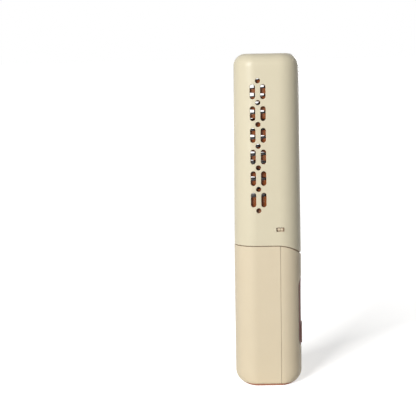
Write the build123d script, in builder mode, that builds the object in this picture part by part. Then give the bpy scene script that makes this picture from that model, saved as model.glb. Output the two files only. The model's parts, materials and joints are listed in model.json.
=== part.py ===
from build123d import *
import math
import os

# Cordless hot comb with a push-on cap. Millimetres, +Z up, origin at the middle of the base.
# The teeth point to -X, the half-round spine with its buttons faces +X, and the front is -Y.

# --- Battery cell, around which the handle is built ---
CELL_DIAMETER = 18.4
CELL_LENGTH = 65.0
CELL_ROOM = 1.8          # between the cell and the front and back walls
CELL_END_ROOM = 1.0      # between the cell and the wall on the teeth side
CELL_EDGE = 0.5
CELL_CAP_DIAMETER = 6.0
CELL_CAP_HEIGHT = 0.5

# --- Handle ---
WALL = 2.0
BOARD_BAY = 5.9          # from the cell to the parting plane
BASE_END_RADIUS = 8.0    # of the lower corners as seen from the front
BASE_SIDE_RADIUS = 3.0   # of the lower edge as seen from the spine
BASE_CUT = 0.15          # the flat underside cuts this much off the rounding
BASE_STEPS = 5           # sections that shape each half of the rounding
BASE_HEIGHT = 1.6
WIRE_BAY = 7.75          # from the top of the cell to the handle's rim
RIM_DIP = 6.4            # the rim runs this much lower on the spine
RIM_DIP_LEAD = 1.5       # the dip starts this far before the parting plane
RIM_EDGE = 0.4
BUTTON_PROUD = 0.35      # the mode button stands this far out of the spine

# --- Parting joint between the two half shells ---
PARTING_GAP = 0.2
LIP_DEPTH = 1.1          # the lip starts this far under the outer surface
LIP_REACH = 1.2
LIP_CLEARANCE = 0.1

# --- Neck, shoulder and comb head ---
NECK_INSET = 2.1
NECK_TEETH_INSET = 2.15
NECK_FLAT = 0.4          # between the neck's two corners on the teeth side
NECK_LENGTH = 12.55
SHOULDER_LENGTH = 12.2
HEAD_INSET = 3.3
HEAD_TEETH_INSET = 5.0
HEAD_CORNER = 5.5
HEAD_WALL = 2.6
HEAD_TOP_RADIUS = 3.0
HEAD_FOOT = 5.9          # from the shoulder to the middle of the lowest gap
HEAD_BROW = 9.8          # from the middle of the highest gap to the top

# --- Teeth ---
TOOTH_COUNT = 14
TOOTH_PITCH = 4.95
TOOTH_LENGTH = 16.4
TOOTH_TIP_LENGTH = 5.7   # solid plastic before the heated fins start
GAP_ROOT_RADIUS = 0.76
GAP_MOUTH_HALF = 1.68
TIP_BEVEL = 0.5
FIN_INSET = 0.35         # the fins stay this far behind the plastic teeth

# --- Cap ---
CAP_WALL = 1.6
CAP_DRAFT = 0.4          # degrees
CAP_TOP_RADIUS = 7.3
CAP_HEAD_ROOM = 2.9      # over the head
SEAM_GAP = 0.35

# --- Cap vents ---
VENT_ROWS = 6
VENT_PITCH = 12.8
VENT_TOP_DROP = 22.2     # from the cap's top to the middle of the first row
VENT_SLOT_WIDTH = 3.0
VENT_SLOT_LENGTH = 8.6
VENT_SPACING = 6.1
VENT_HOLE_DIAMETER = 2.9
VENT_FROM_PARTING = 12.6
VENT_EDGE = 0.3

# --- Snap between the neck and the cap ---
SNAP_WIDTH = 4.1
SNAP_HEIGHT = 1.9
SNAP_PROUD = 0.75
SNAP_RISE = 10.15        # above the rim
SNAP_CLEARANCE = 0.3
SNAP_EDGE = 0.35
GUIDE_RIB_START = 0.7    # from the parting plane
GUIDE_RIB_WIDTH = 0.9
GUIDE_RIB_PROUD = 0.35

# --- Panel in the spine ---
PANEL_WIDTH = 13.2
PANEL_BOTTOM = 22.0
PANEL_HEIGHT = 43.7
PANEL_CLEARANCE = 0.12
PANEL_SUNK = 0.15
PANEL_FLANGE = 1.4
PANEL_FLANGE_THICKNESS = 1.0
PANEL_EDGE = 0.35
PANEL_POST_DIAMETER = 2.2
PANEL_POST_SPREAD = 9.6
LENS_WIDTH = 5.6
LENS_THICKNESS = 0.6
LENS_TOP_MARGIN = 2.6
LENS_BUTTON_GAP = 2.2    # from the lens down to the mode button
LENS_CLEARANCE = 0.05
LIGHT_GUIDE_MARGIN = 0.6

# --- Buttons ---
MODE_BUTTON_WIDTH = 6.4
MODE_BUTTON_HEIGHT = 13.6
MODE_BUTTON_MARGIN = 1.8
POWER_BUTTON_DIAMETER = 6.6
POWER_BUTTON_RISE = 5.3  # above the rim
POWER_BUTTON_SUNK = 0.55
BUTTON_CLEARANCE = 0.2
BUTTON_FLANGE = 0.9
BUTTON_FLANGE_THICKNESS = 1.0
BUTTON_STEM_DIAMETER = 3.0
BUTTON_EDGE = 0.4

# --- Main board and its switches ---
BOARD_THICKNESS = 1.0
BOARD_WIDTH = 14.0
BOARD_FROM_PARTING = 1.9
SWITCH_SIZE = 4.5
SWITCH_HEIGHT = 1.8
SWITCH_FLOOR = 0.4
PLUNGER_DIAMETER = 2.2
PLUNGER_CLEARANCE = 0.06
PLUNGER_PROUD = 0.6
PLUNGER_BURIED = 1.0

# --- Parts on the main board, from the lower chassis boss upwards ---
BOARD_PART_GAP = 2.0
CHIP_SIZE = 7.0
CHIP_HEIGHT = 0.9
TRANSISTOR_WIDTH = 5.0
TRANSISTOR_LENGTH = 6.0
TRANSISTOR_HEIGHT = 1.1
TRANSISTOR_PITCH = 6.2
INDUCTOR_SIZE = 6.0
INDUCTOR_HEIGHT = 3.0
INDUCTOR_CORNER = 1.0
CAPACITOR_DIAMETER = 4.0
CAPACITOR_HEIGHT = 4.5
CAPACITOR_PITCH = 5.0
LED_WIDTH = 1.6
LED_LENGTH = 0.8
LED_HEIGHT = 0.7
LED_COUNT = 4
LED_AIR = 0.3

# --- Base plate, charging socket and charge board ---
BASE_SHADOW_GAP = 0.25
BASE_SEAT_INSET = 1.2
BASE_PLUG_LENGTH = 11.0
BASE_PLUG_WIDTH = 7.6
BASE_PLUG_CLEARANCE = 0.15
BOSS_HEIGHT = 4.4
BOSS_DIAMETER = 4.4
BASE_SCREW_SPREAD = 18.6
BASE_SCREW_HEAD_HEIGHT = 0.85
BASE_SCREW_SUNK = 0.25
CHARGE_BOARD_LENGTH = 29.6
CHARGE_BOARD_WIDTH = 13.0
CHARGE_BOARD_THICKNESS = 1.0
CHARGE_BAY = 4.0         # between the charge board and the cell
CHARGE_CHIP_SIZE = 4.0
CHARGE_CHIP_HEIGHT = 0.8
USB_WIDTH = 8.94
USB_THICKNESS = 3.16
USB_LENGTH = 7.3
USB_SHEET = 0.3
USB_CLEARANCE = 0.25
USB_TONGUE_WIDTH = 6.7
USB_TONGUE_THICKNESS = 0.7
USB_TONGUE_SUNK = 0.9
USB_BACK = 1.6

# --- Screws, M2 self-tapping ---
SCREW_DIAMETER = 2.0
SCREW_HEAD_DIAMETER = 3.6
SCREW_HEAD_HEIGHT = 1.2
SCREW_FIT = 0.05         # radial, in a boss
SCREW_PASS = 0.15        # radial, in a board or plate
SCREW_GRIP = 4.5

# --- Chassis for the cell and the board ---
CHASSIS_PLATE = 1.6
CHASSIS_RING_HEIGHT = 8.0
CHASSIS_RING_WALL = 0.5
CHASSIS_RING_MARGIN = 6.0
CHASSIS_FIT = 0.1
CHASSIS_SIDE_ROOM = 1.5
CHASSIS_SCREW_MARGIN = 7.5
CHASSIS_BOSS_DIAMETER = 4.4
CHASSIS_FOOT_WIDTH = 1.3

# --- Battery contacts ---
TAB_WIDTH = 5.0
TAB_LENGTH = 10.0
TAB_THICKNESS = 0.2
RING_HOLE = 7.0
RING_EDGE = 0.7

# --- Heater ---
COMB_CLEARANCE = 0.4
COMB_BLOCK = 3.8
COMB_END = 2.5           # the block runs this far past the outer gaps
FIN_TIP_CLEARANCE = 0.2
PTC_THICKNESS = 1.6
PTC_WIDTH = 9.0
PTC_COUNT = 3
PTC_LENGTH = 20.0
PTC_PITCH = 22.0
ELECTRODE_THICKNESS = 0.4
ELECTRODE_WIDTH = 8.0
ELECTRODE_END = 1.0
ELECTRODE_TAB = 4.0
ELECTRODE_TAB_MARGIN = 0.55
SPRING_THICKNESS = 0.3
SPRING_BOW = 0.9
SPRING_WIDTH = 6.0
SPRING_END = 7.0         # the spring is this much shorter than the ceramic row at each end
CARRIER_THICKNESS = 1.4
CARRIER_SIDE_ROOM = 0.8
CARRIER_END_BLOCK = 2.5
CARRIER_END_WIDTH = 8.8
CARRIER_RIB = 2.0
CARRIER_RIB_WIDTH = 6.0
SHEET_THICKNESS = 0.25
SHEET_CLEARANCE = 0.05
THERMISTOR_DIAMETER = 1.6
THERMISTOR_LENGTH = 4.0
THERMISTOR_SIDE = 5.35
FUSE_DIAMETER = 2.4
FUSE_LENGTH = 8.0
FUSE_BORE_CLEARANCE = 0.06

# --- Wires ---
CELL_WIRE = 1.3
CHARGE_WIRE = 1.0
HEATER_WIRE = 1.1
SIGNAL_WIRE = 0.6
SIGNAL_WIRE_PITCH = 0.8
BEND_SHARE = 0.75        # of the free run that a tight bend takes

# --- Worked out along X and Y ---
BODY_HALF = CELL_DIAMETER / 2 + CELL_ROOM + WALL
BODY_WIDTH = WALL + CELL_END_ROOM + CELL_DIAMETER + BOARD_BAY + BODY_HALF
BODY_LEFT = -(BODY_WIDTH + BUTTON_PROUD) / 2
SPINE_X = BODY_LEFT + BODY_WIDTH
PARTING_X = SPINE_X - BODY_HALF
TEETH_END_X = BODY_LEFT + BODY_HALF
DIP_START_X = PARTING_X - RIM_DIP_LEAD
CELL_RADIUS = CELL_DIAMETER / 2
CELL_X = BODY_LEFT + WALL + CELL_END_ROOM + CELL_RADIUS
INNER_HALF = BODY_HALF - WALL
NECK_HALF = BODY_HALF - NECK_INSET
NECK_LEFT = BODY_LEFT + NECK_TEETH_INSET
NECK_CORNER = NECK_HALF - NECK_FLAT / 2
NECK_INNER_HALF = NECK_HALF - WALL
HEAD_HALF = BODY_HALF - HEAD_INSET
HEAD_LEFT = BODY_LEFT + HEAD_TEETH_INSET
HEAD_INNER_HALF = HEAD_HALF - HEAD_WALL
TOOTH_ROOT_X = HEAD_LEFT + TOOTH_LENGTH
FIN_START_X = HEAD_LEFT + TOOTH_TIP_LENGTH
BOARD_X = PARTING_X + BOARD_FROM_PARTING
BOARD_FACE_X = BOARD_X + BOARD_THICKNESS
SWITCH_FACE_X = BOARD_FACE_X + SWITCH_HEIGHT
PLUNGER_END_X = SWITCH_FACE_X + PLUNGER_PROUD
CHASSIS_X = CELL_X + CELL_RADIUS + CHASSIS_FIT + CHASSIS_RING_WALL / 2
CHASSIS_FACE_X = CHASSIS_X + CHASSIS_PLATE
BLOCK_BACK_X = TOOTH_ROOT_X + COMB_BLOCK
PTC_BACK_X = BLOCK_BACK_X + PTC_THICKNESS
ELECTRODE_BACK_X = PTC_BACK_X + ELECTRODE_THICKNESS
CARRIER_X = ELECTRODE_BACK_X + SPRING_BOW + SPRING_THICKNESS
CARRIER_BACK_X = CARRIER_X + CARRIER_THICKNESS
PANEL_FACE = BODY_HALF - PANEL_SUNK
PANEL_FLANGE_FACE = INNER_HALF - PANEL_CLEARANCE
PANEL_FLANGE_BACK = PANEL_FLANGE_FACE - PANEL_FLANGE_THICKNESS
LENS_FACE = PANEL_FACE - LENS_CLEARANCE
LENS_BACK = LENS_FACE - LENS_THICKNESS

# --- Worked out along Z ---
FLOOR_TOP = BASE_HEIGHT + WALL
CHARGE_BOARD_Z = FLOOR_TOP + BOSS_HEIGHT
CHARGE_BOARD_TOP = CHARGE_BOARD_Z + CHARGE_BOARD_THICKNESS
CELL_BOTTOM = CHARGE_BOARD_TOP + CHARGE_BAY
CELL_TOP = CELL_BOTTOM + CELL_LENGTH
RIM_Z = CELL_TOP + WIRE_BAY
RIM_LOW_Z = RIM_Z - RIM_DIP
NECK_FOOT_Z = RIM_LOW_Z - 3 * WALL
SHOULDER_Z = RIM_Z + NECK_LENGTH
HEAD_Z = SHOULDER_Z + SHOULDER_LENGTH
FIRST_GAP_Z = HEAD_Z + HEAD_FOOT
LAST_GAP_Z = FIRST_GAP_Z + TOOTH_COUNT * TOOTH_PITCH
TEETH_MIDDLE_Z = (FIRST_GAP_Z + LAST_GAP_Z) / 2
HEAD_TOP = LAST_GAP_Z + HEAD_BROW
TOTAL_HEIGHT = HEAD_TOP + CAP_HEAD_ROOM + CAP_WALL
SNAP_Z = RIM_Z + SNAP_RISE
POWER_BUTTON_Z = RIM_Z + POWER_BUTTON_RISE
PANEL_Z = PANEL_BOTTOM + PANEL_HEIGHT / 2
MODE_BUTTON_Z = PANEL_BOTTOM + MODE_BUTTON_MARGIN + MODE_BUTTON_HEIGHT / 2
LENS_BOTTOM = MODE_BUTTON_Z + MODE_BUTTON_HEIGHT / 2 + LENS_BUTTON_GAP
LENS_TOP = PANEL_BOTTOM + PANEL_HEIGHT - LENS_TOP_MARGIN
LENS_HEIGHT = LENS_TOP - LENS_BOTTOM
LENS_Z = (LENS_BOTTOM + LENS_TOP) / 2
VENT_TOP_Z = TOTAL_HEIGHT - VENT_TOP_DROP
VENT_X = PARTING_X - VENT_FROM_PARTING
BOARD_BOTTOM = CELL_BOTTOM
BOARD_TOP = SHOULDER_Z
LOW_SCREW_Z = CELL_BOTTOM + CHASSIS_SCREW_MARGIN
HIGH_SCREW_Z = CELL_TOP - CHASSIS_SCREW_MARGIN
BLOCK_BOTTOM = FIRST_GAP_Z - COMB_END
BLOCK_TOP = LAST_GAP_Z + COMB_END
PTC_ROW_HALF = (PTC_COUNT - 1) * PTC_PITCH / 2 + PTC_LENGTH / 2
USB_BOTTOM = CHARGE_BOARD_Z - USB_LENGTH

FAR = 400.0  # longer than anything here, for cuts that go right through

os.makedirs("parts", exist_ok=True)


def keep(part, label):
    """Label a finished piece and write it to its own file."""
    part.label = label
    export_step(part, "parts/" + label + ".step")


# --- Shapes that several pieces share ---


def handle_outline(height, inset):
    """Plan section of the handle and the cap: straight sides between two half rounds."""
    with BuildSketch(Plane.XY.offset(height)) as outline:
        with Locations(((BODY_LEFT + SPINE_X) / 2, 0)):
            SlotOverall(BODY_WIDTH - 2 * inset, 2 * (BODY_HALF - inset))
    return outline.sketch


def base_outline(height, end_inset, side_inset):
    """Plan section near the base, drawn in further at its two ends than at its sides."""
    reach = BODY_HALF - end_inset
    half = BODY_HALF - side_inset
    with BuildSketch(Plane.XY.offset(height)) as outline:
        with BuildLine():
            Line((TEETH_END_X, -half), (PARTING_X, -half))
            EllipticalCenterArc((PARTING_X, 0), reach, half, -90, arc_size=180)
            Line((PARTING_X, half), (TEETH_END_X, half))
            EllipticalCenterArc((TEETH_END_X, 0), reach, half, 90, arc_size=180)
        make_face()
    return outline.sketch


def rounding(radius, height):
    """How far a rounded lower edge is drawn in at this height."""
    return radius - math.sqrt(radius**2 - max(radius - height, 0) ** 2)


def handle_form(inset):
    """The handle as one solid, inset all round: the ends are rounded more than the sides."""
    end_radius = BASE_END_RADIUS - inset
    side_radius = BASE_SIDE_RADIUS - inset
    start = math.acos(1 - BASE_CUT / side_radius)
    shares = [step / BASE_STEPS for step in range(BASE_STEPS + 1)]
    turns = [start + (math.pi / 2 - start) * share for share in shares]
    low_heights = [side_radius * (1 - math.cos(turn)) for turn in turns]
    rise = end_radius - side_radius
    high_heights = [side_radius + rise * math.sin(math.pi / 2 * share) for share in shares]
    with BuildPart() as form:
        for heights in (low_heights, high_heights):
            loft(
                [
                    base_outline(
                        inset + height - BASE_CUT,
                        inset + rounding(end_radius, height),
                        inset + rounding(side_radius, height),
                    )
                    for height in heights
                ]
            )
        straight_z = BASE_END_RADIUS - BASE_CUT
        extrude(handle_outline(straight_z, inset), amount=RIM_Z - straight_z)
    return form.part


def body_outline(height, left, half, corner):
    """Plan section: a half round on the spine side and two rounded corners on the teeth side."""
    with BuildSketch(Plane.XY.offset(height)) as outline:
        with Locations(((left + PARTING_X) / 2, 0)):
            Rectangle(PARTING_X - left, 2 * half)
        fillet(outline.vertices().group_by(Axis.X)[0], corner)
        with Locations((PARTING_X, 0)):
            Circle(half)
    return outline.sketch


def above_rim(drop):
    """Everything above the rim, which runs level and then dips in an arc over the spine."""
    rim = RIM_Z - drop
    with BuildPart() as region:
        with BuildSketch(Plane.XZ):
            with BuildLine():
                level = Line((-FAR, rim), (DIP_START_X, rim))
                dip = TangentArc(level @ 1, (SPINE_X, rim - RIM_DIP), tangent=(1, 0))
                run_out = Line(dip @ 1, (FAR, rim - RIM_DIP))
                Polyline(run_out @ 1, (FAR, FAR), (-FAR, FAR), level @ 0)
            make_face()
        extrude(amount=FAR / 2, both=True)
    return region.part


def rim_edges(form, rim):
    """The outer edges where a solid meets the rim, without the line where the rim starts to dip."""
    near_rim = form.edges().filter_by(lambda edge: abs(edge.center().Z - rim) < RIM_DIP)
    return near_rim.filter_by(lambda edge: abs(edge.center().X - DIP_START_X) > RIM_EDGE)


def body_form(inset):
    """The handle, neck, shoulder and head as one solid, inset all round."""
    neck_left = NECK_LEFT + inset
    neck_half = NECK_HALF - inset
    neck_corner = NECK_CORNER - inset
    head_left = HEAD_LEFT + inset
    head_half = HEAD_HALF - inset
    head_corner = HEAD_CORNER - inset
    with BuildPart() as form:
        add(handle_form(inset))
        add(above_rim(inset), mode=Mode.SUBTRACT)
        fillet(rim_edges(form, RIM_Z - inset), RIM_EDGE)
        split(bisect_by=Plane.XY.offset(BASE_HEIGHT + inset), keep=Keep.TOP)
        extrude(
            body_outline(NECK_FOOT_Z, neck_left, neck_half, neck_corner),
            amount=SHOULDER_Z - NECK_FOOT_Z,
        )
        loft(
            [
                body_outline(SHOULDER_Z, neck_left, neck_half, neck_corner),
                body_outline(HEAD_Z, head_left, head_half, head_corner),
            ]
        )
        extrude(
            body_outline(HEAD_Z, head_left, head_half, head_corner),
            amount=HEAD_TOP - inset - HEAD_Z,
        )
        fillet(form.edges().group_by(Axis.Z)[-1], HEAD_TOP_RADIUS - inset)
    return form.part


def gap_profile(widen):
    """All the gaps between the teeth, side by side, seen from the front."""
    root = GAP_ROOT_RADIUS + widen
    mouth = GAP_MOUTH_HALF + widen
    root_x = TOOTH_ROOT_X - GAP_ROOT_RADIUS
    flare = mouth + TIP_BEVEL
    with BuildSketch(Plane.XZ) as gaps:
        for number in range(TOOTH_COUNT + 1):
            height = FIRST_GAP_Z + number * TOOTH_PITCH
            with BuildLine():
                Polyline(
                    (root_x, height - root),
                    (HEAD_LEFT + TIP_BEVEL, height - mouth),
                    (HEAD_LEFT - TIP_BEVEL, height - flare),
                    (HEAD_LEFT - TIP_BEVEL, height + flare),
                    (HEAD_LEFT + TIP_BEVEL, height + mouth),
                    (root_x, height + root),
                )
                ThreePointArc(
                    (root_x, height + root), (root_x + root, height), (root_x, height - root)
                )
            make_face()
    return gaps.sketch


def slot_bar(start, end, width, height, middle):
    """A bar along X with an upright slot section."""
    with BuildPart() as bar:
        with BuildSketch(Plane.YZ.offset(start)):
            with Locations((0, middle)):
                SlotOverall(height, width, rotation=90)
        extrude(amount=end - start)
    return bar.part


def spine_segment(inner, outer, width, height, middle):
    """A piece of a tube around the spine's axis, cut out by an upright slot shape."""
    with BuildPart() as segment:
        with BuildSketch(Plane.XY.offset(middle - height)):
            with Locations((PARTING_X, 0)):
                Circle(outer)
                Circle(inner, mode=Mode.SUBTRACT)
        extrude(amount=2 * height)
        add(slot_bar(PARTING_X, SPINE_X + BODY_HALF, width, height, middle), mode=Mode.INTERSECT)
    return segment.part


def rod(start, end, diameter, side, height):
    """A round bar along X."""
    with BuildPart() as bar:
        with BuildSketch(Plane.YZ.offset(start)):
            with Locations((side, height)):
                Circle(diameter / 2)
        extrude(amount=end - start)
    return bar.part


def post(x, y, diameter, bottom, top):
    """A round bar along Z."""
    with BuildPart() as bar:
        with BuildSketch(Plane.XY.offset(bottom)):
            with Locations((x, y)):
                Circle(diameter / 2)
        extrude(amount=top - bottom)
    return bar.part


def block(low, high):
    """A box between two opposite corners."""
    with BuildPart() as box:
        with BuildSketch(Plane.XY.offset(low[2])):
            with Locations(((low[0] + high[0]) / 2, (low[1] + high[1]) / 2)):
                Rectangle(high[0] - low[0], high[1] - low[1])
        extrude(amount=high[2] - low[2])
    return box.part


def wire(points, diameter, bends):
    """A lead of straight runs and tangent arcs, checked against its section times its length."""
    with BuildPart() as lead:
        with BuildLine() as route:
            FilletPolyline(*points, radius=bends)
        with BuildSketch(Plane(origin=route.line @ 0, z_dir=route.line % 0)):
            Circle(diameter / 2)
        sweep()
    length = sum(edge.length for edge in route.edges())
    expected = math.pi * diameter**2 / 4 * length
    print("wire", round(length, 1), "mm, volume ratio", round(lead.part.volume / expected, 4))
    return lead.part


# --- Outer form and inside of the two shells ---

with BuildPart() as snap_bumps:
    # on the front and back of the neck, across the parting plane
    with BuildSketch(Plane.XY.offset(SNAP_Z - SNAP_HEIGHT / 2)):
        with Locations((PARTING_X, 0)):
            Rectangle(SNAP_WIDTH, 2 * (NECK_HALF + SNAP_PROUD))
    extrude(amount=SNAP_HEIGHT)
    chamfer(snap_bumps.faces().filter_by(Axis.Y).edges(), SNAP_EDGE)

with BuildPart() as outer_form:
    add(body_form(0))
    add(snap_bumps.part)

with BuildPart() as hollow:
    # handle
    add(handle_form(WALL))
    add(above_rim(WALL), mode=Mode.SUBTRACT)
    split(bisect_by=Plane.XY.offset(FLOOR_TOP), keep=Keep.TOP)
    # neck
    extrude(
        body_outline(NECK_FOOT_Z - WALL, NECK_LEFT + WALL, NECK_INNER_HALF, NECK_CORNER - WALL),
        amount=SHOULDER_Z - NECK_FOOT_Z + WALL,
    )
    # shoulder, narrowing towards the back of the heater comb
    loft(
        [
            body_outline(SHOULDER_Z, NECK_LEFT + WALL, NECK_INNER_HALF, NECK_CORNER - WALL),
            body_outline(
                HEAD_Z, TOOTH_ROOT_X - 3 * COMB_CLEARANCE, HEAD_INNER_HALF, COMB_CLEARANCE
            ),
        ]
    )
    # room behind the teeth
    extrude(
        body_outline(HEAD_Z, TOOTH_ROOT_X - COMB_CLEARANCE, HEAD_INNER_HALF, COMB_CLEARANCE / 2),
        amount=HEAD_TOP - HEAD_WALL - HEAD_Z,
    )

fin_room = block(
    (FIN_START_X, -HEAD_INNER_HALF, FIRST_GAP_Z),
    (TOOTH_ROOT_X, HEAD_INNER_HALF, LAST_GAP_Z),
)

with BuildPart() as lip_room:
    add(body_form(LIP_DEPTH - LIP_CLEARANCE))
    split(bisect_by=Plane.YZ.offset(PARTING_X - LIP_REACH - LIP_CLEARANCE), keep=Keep.TOP)

with BuildPart() as lip:
    add(body_form(LIP_DEPTH))
    split(bisect_by=Plane.YZ.offset(PARTING_X - LIP_REACH), keep=Keep.TOP)
    split(bisect_by=Plane.YZ.offset(PARTING_X + PARTING_GAP), keep=Keep.BOTTOM)

with BuildPart() as floor_opening:
    with BuildSketch(Plane.XY.offset(BASE_HEIGHT - WALL)):
        SlotOverall(BASE_PLUG_LENGTH, BASE_PLUG_WIDTH)
    extrude(amount=3 * WALL)


def base_boss(x):
    """A screw boss from the floor up to the charge board."""
    return post(x, 0, BOSS_DIAMETER, FLOOR_TOP - WALL / 2, CHARGE_BOARD_Z)


def base_screw_hole(x):
    """The hole that a base screw cuts its thread in."""
    return post(x, 0, SCREW_DIAMETER + 2 * SCREW_FIT, 0, CHARGE_BOARD_Z + WALL)


# --- Shell on the teeth side ---

with BuildPart() as teeth_shell:
    add(outer_form.part)
    split(bisect_by=Plane.YZ.offset(PARTING_X - PARTING_GAP / 2), keep=Keep.BOTTOM)
    add(hollow.part, mode=Mode.SUBTRACT)
    add(fin_room, mode=Mode.SUBTRACT)
    add(lip_room.part, mode=Mode.SUBTRACT)
    add(floor_opening.part, mode=Mode.SUBTRACT)
    add(base_boss(-BASE_SCREW_SPREAD / 2))
    add(base_screw_hole(-BASE_SCREW_SPREAD / 2), mode=Mode.SUBTRACT)
    extrude(gap_profile(0), amount=BODY_HALF, both=True, mode=Mode.SUBTRACT)

keep(teeth_shell.part, "teeth_shell")

# --- Shell on the spine side ---

guide_rib = block(
    (PARTING_X + GUIDE_RIB_START, -NECK_HALF - GUIDE_RIB_PROUD, RIM_LOW_Z),
    (PARTING_X + GUIDE_RIB_START + GUIDE_RIB_WIDTH, NECK_HALF + GUIDE_RIB_PROUD, SNAP_Z),
)

with BuildPart() as spine_shell:
    add(outer_form.part)
    add(guide_rib)
    split(bisect_by=Plane.YZ.offset(PARTING_X + PARTING_GAP / 2), keep=Keep.TOP)
    add(lip.part)
    add(hollow.part, mode=Mode.SUBTRACT)
    add(base_boss(BASE_SCREW_SPREAD / 2))
    add(base_screw_hole(BASE_SCREW_SPREAD / 2), mode=Mode.SUBTRACT)
    # window for the panel
    add(
        slot_bar(
            BOARD_FACE_X,
            SPINE_X + WALL,
            PANEL_WIDTH + 2 * PANEL_CLEARANCE,
            PANEL_HEIGHT + 2 * PANEL_CLEARANCE,
            PANEL_Z,
        ),
        mode=Mode.SUBTRACT,
    )
    windowed = spine_shell.faces().filter_by(GeomType.CYLINDER).sort_by(Axis.X)[-1]
    chamfer(windowed.inner_wires().edges(), PANEL_EDGE)
    # hole for the power button
    add(
        rod(
            BOARD_FACE_X,
            SPINE_X + WALL,
            POWER_BUTTON_DIAMETER + 2 * BUTTON_CLEARANCE,
            0,
            POWER_BUTTON_Z,
        ),
        mode=Mode.SUBTRACT,
    )

keep(spine_shell.part, "spine_shell")

# --- Cap ---

CAP_FOOT_Z = RIM_LOW_Z - WALL

with BuildPart() as cap_hollow:
    extrude(
        handle_outline(CAP_FOOT_Z, CAP_WALL),
        amount=TOTAL_HEIGHT - CAP_WALL - CAP_FOOT_Z,
        taper=CAP_DRAFT,
    )
    fillet(cap_hollow.edges().group_by(Axis.Z)[-1], CAP_TOP_RADIUS - CAP_WALL)


def on_vent_rim(edge):
    """True for an edge of a vent on the outside, not for the line where the round end starts."""
    outside = abs(edge.center().Y) > BODY_HALF - CAP_WALL + VENT_EDGE
    return outside and abs(edge.center().X - TEETH_END_X) > VENT_EDGE / 3


with BuildPart() as cap:
    extrude(
        handle_outline(CAP_FOOT_Z, 0), amount=TOTAL_HEIGHT - CAP_FOOT_Z, taper=CAP_DRAFT
    )
    fillet(cap.edges().group_by(Axis.Z)[-1], CAP_TOP_RADIUS)
    add(above_rim(-SEAM_GAP), mode=Mode.INTERSECT)
    fillet(rim_edges(cap, RIM_Z + SEAM_GAP), RIM_EDGE)
    add(cap_hollow.part, mode=Mode.SUBTRACT)
    # vents, through the front and the back
    with BuildSketch(Plane.XZ):
        for row in range(VENT_ROWS):
            for side in (-VENT_SPACING / 2, VENT_SPACING / 2):
                with Locations((VENT_X + side, VENT_TOP_Z - row * VENT_PITCH)):
                    SlotOverall(VENT_SLOT_LENGTH, VENT_SLOT_WIDTH, rotation=90)
        for row in range(VENT_ROWS + 1):
            with Locations((VENT_X, VENT_TOP_Z + VENT_PITCH / 2 - row * VENT_PITCH)):
                Circle(VENT_HOLE_DIAMETER / 2)
    extrude(amount=2 * BODY_HALF, both=True, mode=Mode.SUBTRACT)
    fillet(cap.edges(Select.LAST).filter_by(on_vent_rim), VENT_EDGE)
    # snap windows
    with BuildSketch(Plane.XZ):
        with Locations((PARTING_X, SNAP_Z)):
            RectangleRounded(
                SNAP_WIDTH + 2 * SNAP_CLEARANCE, SNAP_HEIGHT + 2 * SNAP_CLEARANCE, SNAP_CLEARANCE
            )
    extrude(amount=2 * BODY_HALF, both=True, mode=Mode.SUBTRACT)
    # channels inside, up which the snap bumps pass
    with BuildSketch(Plane.XY.offset(CAP_FOOT_Z)):
        with Locations((PARTING_X, 0)):
            Rectangle(
                SNAP_WIDTH + 2 * SNAP_CLEARANCE, 2 * (NECK_HALF + SNAP_PROUD + SNAP_CLEARANCE)
            )
    extrude(amount=SNAP_Z - CAP_FOOT_Z, mode=Mode.SUBTRACT)

keep(cap.part, "cap")

# --- Base plate ---

SEAT_END_INSET = rounding(BASE_END_RADIUS, BASE_HEIGHT + BASE_CUT) + BASE_SEAT_INSET
SEAT_SIDE_INSET = rounding(BASE_SIDE_RADIUS, BASE_HEIGHT + BASE_CUT) + BASE_SEAT_INSET
BASE_SCREW_POCKET = BASE_SCREW_HEAD_HEIGHT + BASE_SCREW_SUNK

with BuildPart() as base_plate:
    # it carries the rounding of the handle on, under a shadow gap
    add(handle_form(0))
    split(bisect_by=Plane.XY.offset(BASE_HEIGHT - BASE_SHADOW_GAP), keep=Keep.BOTTOM)
    # seat that the shells stand on
    extrude(
        base_outline(BASE_HEIGHT / 2, SEAT_END_INSET, SEAT_SIDE_INSET), amount=BASE_HEIGHT / 2
    )
    with BuildSketch(Plane.XY.offset(BASE_HEIGHT)):
        SlotOverall(
            BASE_PLUG_LENGTH - 2 * BASE_PLUG_CLEARANCE, BASE_PLUG_WIDTH - 2 * BASE_PLUG_CLEARANCE
        )
    extrude(amount=WALL)
    # charging opening
    with BuildSketch(Plane.XY):
        SlotOverall(USB_WIDTH + 2 * USB_CLEARANCE, USB_THICKNESS + 2 * USB_CLEARANCE)
    extrude(amount=CHARGE_BOARD_Z, mode=Mode.SUBTRACT)
    # sunk screw holes
    with BuildSketch(Plane.XY):
        with GridLocations(BASE_SCREW_SPREAD, 1, 2, 1):
            Circle(SCREW_DIAMETER / 2 + SCREW_PASS)
    extrude(amount=BASE_HEIGHT, mode=Mode.SUBTRACT)
    with BuildSketch(Plane.XY):
        with GridLocations(BASE_SCREW_SPREAD, 1, 2, 1):
            Circle(SCREW_HEAD_DIAMETER / 2 + SCREW_PASS)
    extrude(amount=BASE_SCREW_POCKET, mode=Mode.SUBTRACT)

keep(base_plate.part, "base_plate")

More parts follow.
